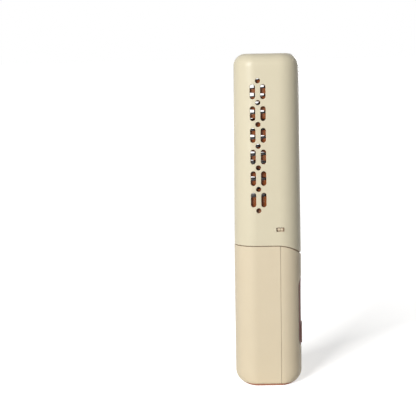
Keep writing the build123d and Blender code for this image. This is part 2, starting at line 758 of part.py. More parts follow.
with BuildPart() as base_screws:
    with BuildSketch(Plane.XY.offset(BASE_SCREW_SUNK)):
        with GridLocations(BASE_SCREW_SPREAD, 1, 2, 1):
            Circle(SCREW_HEAD_DIAMETER / 2)
    extrude(amount=BASE_SCREW_HEAD_HEIGHT)
    with BuildSketch(Plane.XY.offset(BASE_SCREW_POCKET)):
        with GridLocations(BASE_SCREW_SPREAD, 1, 2, 1):
            Circle(SCREW_DIAMETER / 2)
    extrude(amount=CHARGE_BOARD_Z - SCREW_PASS - BASE_SCREW_POCKET)
    # cross recess
    with BuildSketch(Plane.XY.offset(BASE_SCREW_SUNK)):
        with GridLocations(BASE_SCREW_SPREAD, 1, 2, 1):
            Rectangle(SCREW_DIAMETER, SCREW_DIAMETER / 4)
            Rectangle(SCREW_DIAMETER / 4, SCREW_DIAMETER)
    extrude(amount=BASE_SCREW_HEAD_HEIGHT / 2, mode=Mode.SUBTRACT)

keep(base_screws.part, "base_screws")

# --- Panel: bezel, lens and light guide ---

with BuildPart() as bezel_posts:
    # they stand on the board and end inside the flange
    for side in (-PANEL_POST_SPREAD / 2, PANEL_POST_SPREAD / 2):
        for height in (LENS_Z - LENS_HEIGHT / 4, LENS_Z + LENS_HEIGHT / 4):
            add(rod(BOARD_FACE_X, SPINE_X, PANEL_POST_DIAMETER, side, height))
    with BuildSketch(Plane.XY):
        with Locations((PARTING_X, 0)):
            Circle(PANEL_FLANGE_FACE - PANEL_FLANGE_THICKNESS / 2)
    extrude(amount=TOTAL_HEIGHT, mode=Mode.INTERSECT)

with BuildPart() as panel_bezel:
    add(spine_segment(PANEL_FLANGE_BACK, PANEL_FACE, PANEL_WIDTH, PANEL_HEIGHT, PANEL_Z))
    add(
        spine_segment(
            PANEL_FLANGE_BACK,
            PANEL_FLANGE_FACE,
            PANEL_WIDTH + 2 * PANEL_FLANGE,
            PANEL_HEIGHT + 2 * PANEL_FLANGE,
            PANEL_Z,
        )
    )
    add(bezel_posts.part)
    # pocket for the lens and the way for its light
    add(
        spine_segment(
            LENS_BACK,
            BODY_HALF,
            LENS_WIDTH + 2 * LENS_CLEARANCE,
            LENS_HEIGHT + 2 * LENS_CLEARANCE,
            LENS_Z,
        ),
        mode=Mode.SUBTRACT,
    )
    add(
        slot_bar(
            BOARD_FACE_X,
            SPINE_X,
            LENS_WIDTH - 2 * LIGHT_GUIDE_MARGIN + 2 * LENS_CLEARANCE,
            LENS_HEIGHT - 2 * LIGHT_GUIDE_MARGIN + 2 * LENS_CLEARANCE,
            LENS_Z,
        ),
        mode=Mode.SUBTRACT,
    )
    # opening for the mode button
    add(
        slot_bar(
            BOARD_FACE_X,
            SPINE_X,
            MODE_BUTTON_WIDTH + 2 * BUTTON_CLEARANCE,
            MODE_BUTTON_HEIGHT + 2 * BUTTON_CLEARANCE,
            MODE_BUTTON_Z,
        ),
        mode=Mode.SUBTRACT,
    )

keep(panel_bezel.part, "panel_bezel")

with BuildPart() as display_lens:
    add(spine_segment(LENS_BACK, LENS_FACE, LENS_WIDTH, LENS_HEIGHT, LENS_Z))

keep(display_lens.part, "display_lens")

with BuildPart() as light_guide:
    with BuildSketch(Plane.XY.offset(LENS_Z - LENS_HEIGHT)):
        with Locations((PARTING_X, 0)):
            Circle(LENS_BACK)
    extrude(amount=2 * LENS_HEIGHT)
    add(
        slot_bar(
            BOARD_FACE_X + LED_HEIGHT + LED_AIR,
            SPINE_X,
            LENS_WIDTH - 2 * LIGHT_GUIDE_MARGIN,
            LENS_HEIGHT - 2 * LIGHT_GUIDE_MARGIN,
            LENS_Z,
        ),
        mode=Mode.INTERSECT,
    )

keep(light_guide.part, "light_guide")

# --- Buttons ---


def flange_front(reach, flange_half):
    """The X of a button flange's front, just clear of a round wall of this inner radius."""
    return PARTING_X + math.sqrt(reach**2 - flange_half**2) - BUTTON_CLEARANCE


mode_flange_half = MODE_BUTTON_WIDTH / 2 + BUTTON_FLANGE
mode_flange_x = flange_front(PANEL_FLANGE_BACK, mode_flange_half)
mode_flange_back = mode_flange_x - BUTTON_FLANGE_THICKNESS

with BuildPart() as mode_button:
    with BuildSketch(Plane.XY.offset(MODE_BUTTON_Z - MODE_BUTTON_HEIGHT)):
        with Locations((PARTING_X, 0)):
            Circle(BODY_HALF + BUTTON_PROUD)
    extrude(amount=2 * MODE_BUTTON_HEIGHT)
    add(
        slot_bar(
            mode_flange_x, FAR / 2, MODE_BUTTON_WIDTH, MODE_BUTTON_HEIGHT, MODE_BUTTON_Z
        ),
        mode=Mode.INTERSECT,
    )
    fillet(mode_button.faces().sort_by(Axis.X)[-1].edges(), BUTTON_EDGE)
    add(
        slot_bar(
            mode_flange_back,
            mode_flange_x,
            MODE_BUTTON_WIDTH + 2 * BUTTON_FLANGE,
            MODE_BUTTON_HEIGHT + 2 * BUTTON_FLANGE,
            MODE_BUTTON_Z,
        )
    )
    add(rod(PLUNGER_END_X, mode_flange_back, BUTTON_STEM_DIAMETER, 0, MODE_BUTTON_Z))

keep(mode_button.part, "mode_button")

power_flange_half = POWER_BUTTON_DIAMETER / 2 + BUTTON_FLANGE
power_flange_x = flange_front(NECK_INNER_HALF, power_flange_half)
power_flange_back = power_flange_x - BUTTON_FLANGE_THICKNESS
power_face_x = PARTING_X + NECK_HALF - POWER_BUTTON_SUNK

with BuildPart() as power_button:
    add(rod(power_flange_x, power_face_x, POWER_BUTTON_DIAMETER, 0, POWER_BUTTON_Z))
    fillet(power_button.faces().sort_by(Axis.X)[-1].edges(), BUTTON_EDGE)
    add(
        rod(
            power_flange_back,
            power_flange_x,
            2 * power_flange_half,
            0,
            POWER_BUTTON_Z,
        )
    )
    add(rod(PLUNGER_END_X, power_flange_back, BUTTON_STEM_DIAMETER, 0, POWER_BUTTON_Z))

keep(power_button.part, "power_button")


def switch_body(height):
    """A push switch standing on the board, with the hole that its plunger runs in."""
    half = SWITCH_SIZE / 2
    with BuildPart() as body:
        add(
            block(
                (BOARD_FACE_X, -half, height - half), (SWITCH_FACE_X, half, height + half)
            )
        )
        add(
            rod(
                BOARD_FACE_X + SWITCH_FLOOR,
                SWITCH_FACE_X,
                PLUNGER_DIAMETER + 2 * PLUNGER_CLEARANCE,
                0,
                height,
            ),
            mode=Mode.SUBTRACT,
        )
    return body.part


def switch_plunger(height):
    """The plunger of a push switch, up to the button's stem."""
    return rod(SWITCH_FACE_X - PLUNGER_BURIED, PLUNGER_END_X, PLUNGER_DIAMETER, 0, height)


keep(switch_body(MODE_BUTTON_Z), "mode_switch")
keep(switch_plunger(MODE_BUTTON_Z), "mode_plunger")
keep(switch_body(POWER_BUTTON_Z), "power_switch")
keep(switch_plunger(POWER_BUTTON_Z), "power_plunger")

# --- Main board and what is soldered to it ---

with BuildPart() as main_board:
    add(
        block(
            (BOARD_X, -BOARD_WIDTH / 2, BOARD_BOTTOM), (BOARD_FACE_X, BOARD_WIDTH / 2, BOARD_TOP)
        )
    )
    for height in (LOW_SCREW_Z, HIGH_SCREW_Z):
        add(
            rod(BOARD_X, BOARD_FACE_X, SCREW_DIAMETER + 2 * SCREW_PASS, 0, height),
            mode=Mode.SUBTRACT,
        )

keep(main_board.part, "main_board")


def chip(middle_y, middle_z, width, length, height):
    """A flat package on the board's face towards the cell."""
    return block(
        (BOARD_X - height, middle_y - width / 2, middle_z - length / 2),
        (BOARD_X, middle_y + width / 2, middle_z + length / 2),
    )


LOW_BOSS_TOP = LOW_SCREW_Z + CHASSIS_BOSS_DIAMETER / 2
CAPACITOR_LOW_Z = LOW_BOSS_TOP + BOARD_PART_GAP + CAPACITOR_DIAMETER / 2
CAPACITOR_HIGH_Z = CAPACITOR_LOW_Z + CAPACITOR_PITCH
INDUCTOR_Z = CAPACITOR_HIGH_Z + CAPACITOR_DIAMETER / 2 + BOARD_PART_GAP + INDUCTOR_SIZE / 2
CHIP_Z = INDUCTOR_Z + INDUCTOR_SIZE / 2 + BOARD_PART_GAP + CHIP_SIZE / 2
TRANSISTOR_Z = CHIP_Z + CHIP_SIZE / 2 + BOARD_PART_GAP + TRANSISTOR_LENGTH / 2

keep(chip(0, CHIP_Z, CHIP_SIZE, CHIP_SIZE, CHIP_HEIGHT), "controller_chip")

with BuildPart() as power_transistors:
    for side in (-TRANSISTOR_PITCH / 2, TRANSISTOR_PITCH / 2):
        add(chip(side, TRANSISTOR_Z, TRANSISTOR_WIDTH, TRANSISTOR_LENGTH, TRANSISTOR_HEIGHT))

keep(power_transistors.part, "power_transistors")

with BuildPart() as inductor:
    add(chip(0, INDUCTOR_Z, INDUCTOR_SIZE, INDUCTOR_SIZE, INDUCTOR_HEIGHT))
    fillet(inductor.edges().filter_by(Axis.X), INDUCTOR_CORNER)

keep(inductor.part, "inductor")

with BuildPart() as capacitors:
    for side in (-CAPACITOR_PITCH / 2, CAPACITOR_PITCH / 2):
        for height in (CAPACITOR_LOW_Z, CAPACITOR_HIGH_Z):
            add(rod(BOARD_X - CAPACITOR_HEIGHT, BOARD_X, CAPACITOR_DIAMETER, side, height))

keep(capacitors.part, "capacitors")

with BuildPart() as display_leds:
    for number in range(LED_COUNT):
        height = LENS_Z + (number - (LED_COUNT - 1) / 2) * LENS_HEIGHT / (LED_COUNT + 0.5)
        add(
            block(
                (BOARD_FACE_X, -LED_WIDTH / 2, height - LED_LENGTH / 2),
                (BOARD_FACE_X + LED_HEIGHT, LED_WIDTH / 2, height + LED_LENGTH / 2),
            )
        )

keep(display_leds.part, "display_leds")

# --- Cell, its contacts and the chassis ---

with BuildPart() as battery_cell:
    add(post(CELL_X, 0, CELL_DIAMETER, CELL_BOTTOM, CELL_TOP))
    fillet(battery_cell.edges().group_by(Axis.Z)[0], CELL_EDGE)
    fillet(battery_cell.edges().group_by(Axis.Z)[-1], CELL_EDGE)
    add(post(CELL_X, 0, CELL_CAP_DIAMETER, CELL_TOP, CELL_TOP + CELL_CAP_HEIGHT))

keep(battery_cell.part, "battery_cell")

with BuildPart() as battery_ring:
    with BuildSketch(Plane.XY.offset(CELL_TOP)):
        with Locations((CELL_X, 0)):
            Circle(CELL_RADIUS - RING_EDGE)
            Circle(RING_HOLE / 2, mode=Mode.SUBTRACT)
    extrude(amount=CELL_CAP_HEIGHT / 2)

keep(battery_ring.part, "battery_ring")

TAB_TOP_Z = CELL_TOP + CELL_CAP_HEIGHT + TAB_THICKNESS

with BuildPart() as battery_tabs:
    for bottom in (CELL_TOP + CELL_CAP_HEIGHT, CELL_BOTTOM - TAB_THICKNESS):
        with BuildSketch(Plane.XY.offset(bottom)):
            with Locations((CELL_X + TAB_LENGTH / 4, 0)):
                Rectangle(TAB_LENGTH, TAB_WIDTH)
        extrude(amount=TAB_THICKNESS)

keep(battery_tabs.part, "battery_tabs")

with BuildPart() as chassis:
    plate_half = INNER_HALF - CHASSIS_SIDE_ROOM
    add(
        block((CHASSIS_X, -plate_half, CELL_BOTTOM), (CHASSIS_FACE_X, plate_half, CELL_TOP))
    )
    for ring_bottom in (
        CELL_BOTTOM + CHASSIS_RING_MARGIN,
        CELL_TOP - CHASSIS_RING_MARGIN - CHASSIS_RING_HEIGHT,
    ):
        with BuildSketch(Plane.XY.offset(ring_bottom)):
            with Locations((CELL_X, 0)):
                Circle(CELL_RADIUS + CHASSIS_FIT + CHASSIS_RING_WALL)
                Circle(CELL_RADIUS + CHASSIS_FIT, mode=Mode.SUBTRACT)
        extrude(amount=CHASSIS_RING_HEIGHT)
    for height in (LOW_SCREW_Z, HIGH_SCREW_Z):
        add(rod(CHASSIS_X, BOARD_X, CHASSIS_BOSS_DIAMETER, 0, height))
        add(
            rod(
                CHASSIS_X + CHASSIS_PLATE / 2,
                BOARD_X,
                SCREW_DIAMETER + 2 * SCREW_FIT,
                0,
                height,
            ),
            mode=Mode.SUBTRACT,
        )
    # feet on the charge board
    for side in (-1, 1):
        foot_y = side * (CHARGE_BOARD_WIDTH / 2 - CHASSIS_FOOT_WIDTH / 2)
        add(
            block(
                (CHASSIS_X, foot_y - CHASSIS_FOOT_WIDTH / 2, CHARGE_BOARD_TOP),
                (CHASSIS_FACE_X, foot_y + CHASSIS_FOOT_WIDTH / 2, CELL_BOTTOM + CHASSIS_PLATE),
            )
        )

keep(chassis.part, "chassis")

with BuildPart() as chassis_screws:
    for height in (LOW_SCREW_Z, HIGH_SCREW_Z):
        add(rod(BOARD_FACE_X - SCREW_GRIP, BOARD_FACE_X, SCREW_DIAMETER, 0, height))
        add(
            rod(BOARD_FACE_X, BOARD_FACE_X + SCREW_HEAD_HEIGHT, SCREW_HEAD_DIAMETER, 0, height)
        )

keep(chassis_screws.part, "chassis_screws")

# --- Charge board and socket ---

with BuildPart() as charge_board:
    with BuildSketch(Plane.XY.offset(CHARGE_BOARD_Z)):
        RectangleRounded(CHARGE_BOARD_LENGTH, CHARGE_BOARD_WIDTH, CHARGE_BOARD_THICKNESS)
    extrude(amount=CHARGE_BOARD_THICKNESS)

keep(charge_board.part, "charge_board")

CHARGE_CHIP_X = -CHARGE_BOARD_LENGTH / 2 + CHARGE_CHIP_SIZE

keep(
    block(
        (CHARGE_CHIP_X - CHARGE_CHIP_SIZE / 2, -CHARGE_CHIP_SIZE / 2, CHARGE_BOARD_TOP),
        (
            CHARGE_CHIP_X + CHARGE_CHIP_SIZE / 2,
            CHARGE_CHIP_SIZE / 2,
            CHARGE_BOARD_TOP + CHARGE_CHIP_HEIGHT,
        ),
    ),
    "charge_chip",
)

with BuildPart() as usb_shell:
    with BuildSketch(Plane.XY.offset(USB_BOTTOM)):
        SlotOverall(USB_WIDTH, USB_THICKNESS)
        SlotOverall(USB_WIDTH - 2 * USB_SHEET, USB_THICKNESS - 2 * USB_SHEET, mode=Mode.SUBTRACT)
    extrude(amount=USB_LENGTH)

keep(usb_shell.part, "usb_shell")

with BuildPart() as usb_tongue:
    with BuildSketch(Plane.XY.offset(CHARGE_BOARD_Z - USB_BACK)):
        SlotOverall(
            USB_WIDTH - 2 * USB_SHEET - 2 * SCREW_FIT, USB_THICKNESS - 2 * USB_SHEET - 2 * SCREW_FIT
        )
    extrude(amount=USB_BACK)
    add(
        block(
            (-USB_TONGUE_WIDTH / 2, -USB_TONGUE_THICKNESS / 2, USB_BOTTOM + USB_TONGUE_SUNK),
            (USB_TONGUE_WIDTH / 2, USB_TONGUE_THICKNESS / 2, CHARGE_BOARD_Z - USB_BACK / 2),
        )
    )

keep(usb_tongue.part, "usb_tongue")

# --- Heater ---

comb_half = HEAD_INNER_HALF - COMB_CLEARANCE

with BuildPart() as heater_comb:
    add(
        block(
            (FIN_START_X + FIN_TIP_CLEARANCE, -comb_half, FIRST_GAP_Z),
            (TOOTH_ROOT_X, comb_half, LAST_GAP_Z),
        )
    )
    extrude(gap_profile(FIN_INSET), amount=BODY_HALF, both=True, mode=Mode.SUBTRACT)
    add(block((TOOTH_ROOT_X, -comb_half, BLOCK_BOTTOM), (BLOCK_BACK_X, comb_half, BLOCK_TOP)))

keep(heater_comb.part, "heater_comb")

with BuildPart() as insulation_sheets:
    sheet_outer = HEAD_INNER_HALF - SHEET_CLEARANCE
    for face in (-sheet_outer, sheet_outer - SHEET_THICKNESS):
        add(
            block(
                (TOOTH_ROOT_X + SHEET_THICKNESS, face, BLOCK_BOTTOM),
                (BLOCK_BACK_X, face + SHEET_THICKNESS, BLOCK_TOP),
            )
        )

keep(insulation_sheets.part, "insulation_sheets")

with BuildPart() as ptc_plates:
    for number in range(PTC_COUNT):
        middle = TEETH_MIDDLE_Z + (number - (PTC_COUNT - 1) / 2) * PTC_PITCH
        add(
            block(
                (BLOCK_BACK_X, -PTC_WIDTH / 2, middle - PTC_LENGTH / 2),
                (PTC_BACK_X, PTC_WIDTH / 2, middle + PTC_LENGTH / 2),
            )
        )

keep(ptc_plates.part, "ptc_plates")

ELECTRODE_BOTTOM = TEETH_MIDDLE_Z - PTC_ROW_HALF - ELECTRODE_END
TAB_SIDE_Y = ELECTRODE_TAB_MARGIN - comb_half

with BuildPart() as electrode_plate:
    add(
        block(
            (PTC_BACK_X, -ELECTRODE_WIDTH / 2, ELECTRODE_BOTTOM),
            (ELECTRODE_BACK_X, ELECTRODE_WIDTH / 2, TEETH_MIDDLE_Z + PTC_ROW_HALF),
        )
    )
    add(
        block(
            (PTC_BACK_X, TAB_SIDE_Y, ELECTRODE_BOTTOM),
            (ELECTRODE_BACK_X, -ELECTRODE_WIDTH / 2, ELECTRODE_BOTTOM + ELECTRODE_TAB),
        )
    )

keep(electrode_plate.part, "electrode_plate")

with BuildPart() as pressure_spring:
    spring_low = TEETH_MIDDLE_Z - PTC_ROW_HALF + SPRING_END
    spring_high = TEETH_MIDDLE_Z + PTC_ROW_HALF - SPRING_END
    front_x = ELECTRODE_BACK_X
    back_x = ELECTRODE_BACK_X + SPRING_THICKNESS
    with BuildSketch(Plane.XZ):
        with BuildLine():
            ThreePointArc(
                (front_x, spring_low), (front_x + SPRING_BOW, TEETH_MIDDLE_Z), (front_x, spring_high)
            )
            Line((front_x, spring_high), (back_x, spring_high))
            ThreePointArc(
                (back_x, spring_high), (back_x + SPRING_BOW, TEETH_MIDDLE_Z), (back_x, spring_low)
            )
            Line((back_x, spring_low), (front_x, spring_low))
        make_face()
    extrude(amount=SPRING_WIDTH / 2, both=True)

keep(pressure_spring.part, "pressure_spring")

carrier_half = math.sqrt(HEAD_INNER_HALF**2 - (CARRIER_BACK_X - PARTING_X) ** 2) - CARRIER_SIDE_ROOM
rib_reach = math.sqrt(HEAD_INNER_HALF**2 - (CARRIER_RIB_WIDTH / 2) ** 2)
RIB_END_X = PARTING_X + rib_reach - LIP_CLEARANCE

with BuildPart() as heater_carrier:
    add(block((CARRIER_X, -carrier_half, BLOCK_BOTTOM), (CARRIER_BACK_X, carrier_half, BLOCK_TOP)))
    # end blocks that hold the comb's block forward
    for bottom in (BLOCK_BOTTOM, BLOCK_TOP - CARRIER_END_BLOCK):
        add(
            block(
                (BLOCK_BACK_X, -CARRIER_END_WIDTH / 2, bottom),
                (CARRIER_X, CARRIER_END_WIDTH / 2, bottom + CARRIER_END_BLOCK),
            )
        )
    # ribs that the spine shell presses on
    for number in range(PTC_COUNT):
        middle = TEETH_MIDDLE_Z + (number - (PTC_COUNT - 1) / 2) * PTC_PITCH
        add(
            block(
                (CARRIER_BACK_X, -CARRIER_RIB_WIDTH / 2, middle - CARRIER_RIB / 2),
                (RIB_END_X, CARRIER_RIB_WIDTH / 2, middle + CARRIER_RIB / 2),
            )
        )

keep(heater_carrier.part, "heater_carrier")

THERMISTOR_X = BLOCK_BACK_X + THERMISTOR_DIAMETER / 2
THERMISTOR_Z = TEETH_MIDDLE_Z - PTC_PITCH / 2

keep(
    post(
        THERMISTOR_X,
        THERMISTOR_SIDE,
        THERMISTOR_DIAMETER,
        THERMISTOR_Z,
        THERMISTOR_Z + THERMISTOR_LENGTH,
    ),
    "thermistor",
)

# --- Wires, held all the way inside the body ---

FUSED_WIRE_X = TOOTH_ROOT_X + COMB_BLOCK / 2
FUSED_WIRE_Y = -HEAD_INNER_HALF / 2
FUSED_WIRE_Z = SHOULDER_Z - NECK_LENGTH / 3
PLAIN_WIRE_X = (PTC_BACK_X + ELECTRODE_BACK_X) / 2
PLAIN_WIRE_Y = TAB_SIDE_Y + HEATER_WIRE / 2
PLAIN_WIRE_Z = FUSED_WIRE_Z - 3 * HEATER_WIRE
FUSE_Z = HEAD_Z - FUSE_LENGTH

with BuildPart() as heater_wires:
    add(
        wire(
            [
                (BOARD_X, FUSED_WIRE_Y, FUSED_WIRE_Z),
                (FUSED_WIRE_X, FUSED_WIRE_Y, FUSED_WIRE_Z),
                (FUSED_WIRE_X, FUSED_WIRE_Y, BLOCK_BOTTOM),
            ],
            HEATER_WIRE,
            4.0,
        )
    )
    add(
        wire(
            [
                (BOARD_X, PLAIN_WIRE_Y, PLAIN_WIRE_Z),
                (PLAIN_WIRE_X, PLAIN_WIRE_Y, PLAIN_WIRE_Z),
                (PLAIN_WIRE_X, PLAIN_WIRE_Y, ELECTRODE_BOTTOM),
            ],
            HEATER_WIRE,
            BEND_SHARE * (BOARD_X - PLAIN_WIRE_X),
        )
    )

keep(heater_wires.part, "heater_wires")

with BuildPart() as thermal_fuse:
    add(post(FUSED_WIRE_X, FUSED_WIRE_Y, FUSE_DIAMETER, FUSE_Z, FUSE_Z + FUSE_LENGTH))
    add(
        post(
            FUSED_WIRE_X,
            FUSED_WIRE_Y,
            HEATER_WIRE + 2 * FUSE_BORE_CLEARANCE,
            FUSE_Z,
            FUSE_Z + FUSE_LENGTH,
        ),
        mode=Mode.SUBTRACT,
    )

keep(thermal_fuse.part, "thermal_fuse")

with BuildPart() as sensor_wires:
    for side in (-1, 1):
        lead_x = THERMISTOR_X + side * SIGNAL_WIRE_PITCH / 2
        lead_z = PLAIN_WIRE_Z + side * SIGNAL_WIRE_PITCH
        add(
            wire(
                [
                    (BOARD_X, THERMISTOR_SIDE, lead_z),
                    (lead_x, THERMISTOR_SIDE, lead_z),
                    (lead_x, THERMISTOR_SIDE, THERMISTOR_Z),
                ],
                SIGNAL_WIRE,
                1.8,
            )
        )

keep(sensor_wires.part, "sensor_wires")

CELL_WIRE_X = CELL_X + TAB_LENGTH / 2
CELL_WIRE_Y = TAB_WIDTH / 4

with BuildPart() as battery_wire_positive:
    add(
        wire(
            [
                (CELL_WIRE_X, CELL_WIRE_Y, TAB_TOP_Z),
                (CELL_WIRE_X, CELL_WIRE_Y, TAB_TOP_Z + 2.5 * CELL_WIRE),
                (BOARD_X, CELL_WIRE_Y, TAB_TOP_Z + 2.5 * CELL_WIRE),
            ],
            CELL_WIRE,
            2.0,
        )
    )

keep(battery_wire_positive.part, "battery_wire_positive")

LOW_RUN_Z = (CHARGE_BOARD_TOP + CELL_BOTTOM) / 2
LOW_RUN_X = BOARD_X - 3.0

with BuildPart() as battery_wire_negative:
    add(
        wire(
            [
                (CELL_WIRE_X, -CELL_WIRE_Y, CELL_BOTTOM - TAB_THICKNESS),
                (CELL_WIRE_X, -CELL_WIRE_Y, LOW_RUN_Z),
                (LOW_RUN_X, -CELL_WIRE_Y, LOW_RUN_Z),
                (LOW_RUN_X, -CELL_WIRE_Y, BOARD_BOTTOM + 3.0),
                (BOARD_X, -CELL_WIRE_Y, BOARD_BOTTOM + 3.0),
            ],
            CELL_WIRE,
            [1.2, 2.0, 1.4],
        )
    )

keep(battery_wire_negative.part, "battery_wire_negative")

with BuildPart() as charge_wires:
    for side in (-CHARGE_BOARD_WIDTH / 3, CHARGE_BOARD_WIDTH / 3):
        add(
            wire(
                [
                    (LOW_RUN_X, side, CHARGE_BOARD_TOP),
                    (LOW_RUN_X, side, BOARD_BOTTOM + 3.0),
                    (BOARD_X, side, BOARD_BOTTOM + 3.0),
                ],
                CHARGE_WIRE,
                2.0,
            )
        )

keep(charge_wires.part, "charge_wires")

print("height", round(TOTAL_HEIGHT, 2), "width", round(BODY_WIDTH, 2), "thickness", 2 * BODY_HALF)
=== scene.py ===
# %% [markdown]
# # A cordless hot comb
# The object is a slim battery comb for straightening hair. A push-on cap covers a comb head that
# heats up, and the handle below it holds one round battery cell. The solid parts come from a
# measured model, so this lesson adds what a solid model lacks: light, a camera and the finishes.

# %% Load the solid model
import json
import math

import bpy
from mathutils import Matrix, Vector


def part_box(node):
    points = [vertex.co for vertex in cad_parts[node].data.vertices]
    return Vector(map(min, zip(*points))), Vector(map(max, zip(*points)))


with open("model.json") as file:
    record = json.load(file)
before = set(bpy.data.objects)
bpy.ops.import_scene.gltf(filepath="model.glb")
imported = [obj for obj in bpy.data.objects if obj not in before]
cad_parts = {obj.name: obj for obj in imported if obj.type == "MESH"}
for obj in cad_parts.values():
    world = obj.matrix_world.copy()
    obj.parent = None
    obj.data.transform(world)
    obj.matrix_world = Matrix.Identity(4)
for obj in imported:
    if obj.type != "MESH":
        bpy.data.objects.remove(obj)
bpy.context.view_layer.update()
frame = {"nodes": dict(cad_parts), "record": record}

# %% [markdown]
# ## Sizes
# Blender works in metres and the comb was drawn in millimetres, so one factor turns one into the
# other. The helper below reads where a solid piece is, and that keeps every later cell tied to the
# model instead of to typed positions.

# %% Millimetres
MM = 0.001


def span(node):
    """The two corners of a solid piece, in millimetres."""
    low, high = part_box(node)
    return Vector(low) / MM, Vector(high) / MM


cap_low, cap_high = span("cap")
print("the cap covers", round(cap_low.z, 2), "to", round(cap_high.z, 2), "mm above the table")

# %% [markdown]
# ## The camera
# A product picture of something tall and thin is taken from far away with a long lens, so that
# its sides stay nearly upright. The camera stands seven tenths of a metre in front, level with the
# top of the comb, looks slightly down and is a hair off level. Its turn comes from three angles,
# which are easier to adjust than a matrix.

# %% Set the camera up
PICTURE_SIDE = 416
FOCUS_PIXELS = 1166.07
SENSOR_WIDTH = 36.0
CAMERA_PLACE = Vector((-28.525, -698.93, 202.74)) * MM
CAMERA_TURN = math.radians(0.613)
CAMERA_DIP = math.radians(7.73)
CAMERA_ROLL = math.radians(-0.97)
# the distances in metres between which the camera sees
NEAREST = 0.01
FARTHEST = 100

ahead = Vector(
    (
        -math.sin(CAMERA_TURN) * math.cos(CAMERA_DIP),
        math.cos(CAMERA_TURN) * math.cos(CAMERA_DIP),
        -math.sin(CAMERA_DIP),
    )
)
level_right = Vector((math.cos(CAMERA_TURN), math.sin(CAMERA_TURN), 0))
level_up = level_right.cross(ahead)
right = math.cos(CAMERA_ROLL) * level_right + math.sin(CAMERA_ROLL) * level_up
up = -math.sin(CAMERA_ROLL) * level_right + math.cos(CAMERA_ROLL) * level_up

camera_data = bpy.data.cameras.new("camera")
camera_data.sensor_width = SENSOR_WIDTH
camera_data.lens = FOCUS_PIXELS * SENSOR_WIDTH / PICTURE_SIDE
camera_data.clip_start = NEAREST
camera_data.clip_end = FARTHEST
camera = bpy.data.objects.new("camera", camera_data)
axes = Matrix((right, up, -ahead)).transposed()
camera.matrix_world = Matrix.Translation(CAMERA_PLACE) @ axes.to_4x4()
bpy.context.scene.collection.objects.link(camera)
bpy.context.scene.camera = camera
bpy.context.scene.view_settings.view_transform = "Standard"
print("lens", round(camera_data.lens, 2), "mm")

# %% [markdown]
# ## Colours and nodes
# A colour picked on a screen is an sRGB hex value, but shaders reckon with linear light. One
# function turns the first into the second. A second small function adds a node with its settings
# and links, so that each finish below reads as a short recipe.


# %% Two helpers for materials
def linear(hex_colour):
    """Linear red, green, blue and alpha of a colour written as six hex digits."""
    parts = [int(hex_colour[i : i + 2], 16) / 255 for i in (0, 2, 4)]
    light = [p / 12.92 if p <= 0.04045 else ((p + 0.055) / 1.055) ** 2.4 for p in parts]
    return (*light, 1.0)


def add(owner, kind, values=None, **settings):
    """Adds one node to a material or the world.

    The values fill its sockets with numbers, colours or other nodes' outputs.
    """
    made = owner.node_tree.nodes.new(kind)
    for name, setting in settings.items():
        setattr(made, name, setting)
    for socket, value in (values or {}).items():
        if isinstance(value, bpy.types.NodeSocket):
            owner.node_tree.links.new(value, made.inputs[socket])
        else:
            made.inputs[socket].default_value = value
    return made


def blank(name):
    """A new material with only its output node."""
    material = bpy.data.materials.new(name)
    material.use_nodes = True
    material.node_tree.nodes.clear()
    add(material, "ShaderNodeOutputMaterial")
    return material


def show(material, shader):
    """Joins a finished shader to the material's output."""
    material.node_tree.links.new(shader, material.node_tree.nodes["Material Output"].inputs[0])
    return material


print("cream as linear light:", [round(c, 3) for c in linear("EEDFC2")[:3]])

# %% [markdown]
# ## The floor and the white studio
# White products are shot on a white sweep: paper that runs from the table up the wall without an
# edge. Here one wide plane and a white world do the same. The plane glows for the camera alone, so
# it reads as white without throwing extra light on the comb, and its own dull surface still takes
# the soft shadow. The glow grows with the distance from the comb, because the lamps reach less far
# than the paper does. Mirror and glass rays see that white too, so one helper asks a ray whether
# it comes straight from the camera, a mirror or glass.


# %% Which rays see the white
def seen_directly(owner):
    """1 for a ray from the camera, a mirror or glass, and 0 for light that falls on the comb."""
    ray = add(owner, "ShaderNodeLightPath")
    seen = add(
        owner,
        "ShaderNodeMath",
        {0: ray.outputs["Is Camera Ray"], 1: ray.outputs["Is Glossy Ray"]},
        operation="ADD",
    )
    seen = add(
        owner,
        "ShaderNodeMath",
        {0: seen.outputs[0], 1: ray.outputs["Is Transmission Ray"]},
        operation="ADD",
        use_clamp=True,
    )
    return seen.outputs[0]


# %% Floor
FLOOR_SIDE = 40.0
NEAR_GLOW = 0.68
FAR_GLOW = 1.0
# metres from the comb: nearer than the first the glow is weakest, past the second it is full
GLOW_REACH = (0.35, 2.2)
bpy.ops.object.select_all(action="DESELECT")
bpy.ops.mesh.primitive_plane_add(size=FLOOR_SIDE, location=(0, 0, 0))
floor = bpy.context.object
floor.name = "floor"
# matt paper is evenly white, without a mirror image of the comb
paper_sweep = blank("paper_white_matte")
seen = seen_directly(paper_sweep)
place = add(paper_sweep, "ShaderNodeTexCoord").outputs["Object"]
away = add(paper_sweep, "ShaderNodeVectorMath", {0: place}, operation="LENGTH")
rise = add(
    paper_sweep,
    "ShaderNodeMapRange",
    {
        "Value": away.outputs["Value"],
        "From Min": GLOW_REACH[0],
        "From Max": GLOW_REACH[1],
        "To Min": NEAR_GLOW,
        "To Max": FAR_GLOW,
    },
)
glow_strength = add(
    paper_sweep, "ShaderNodeMath", {0: seen, 1: rise.outputs[0]}, operation="MULTIPLY"
)
glow = add(
    paper_sweep,
    "ShaderNodeEmission",
    {"Color": linear("FFFFFF"), "Strength": glow_strength.outputs[0]},
)
dull = add(paper_sweep, "ShaderNodeBsdfDiffuse", {"Color": linear("E4E3E1"), "Roughness": 1.0})
both = add(paper_sweep, "ShaderNodeAddShader", {0: glow.outputs[0], 1: dull.outputs[0]})
show(paper_sweep, both.outputs[0])
floor.data.materials.append(paper_sweep)
print("floor", FLOOR_SIDE, "m wide")

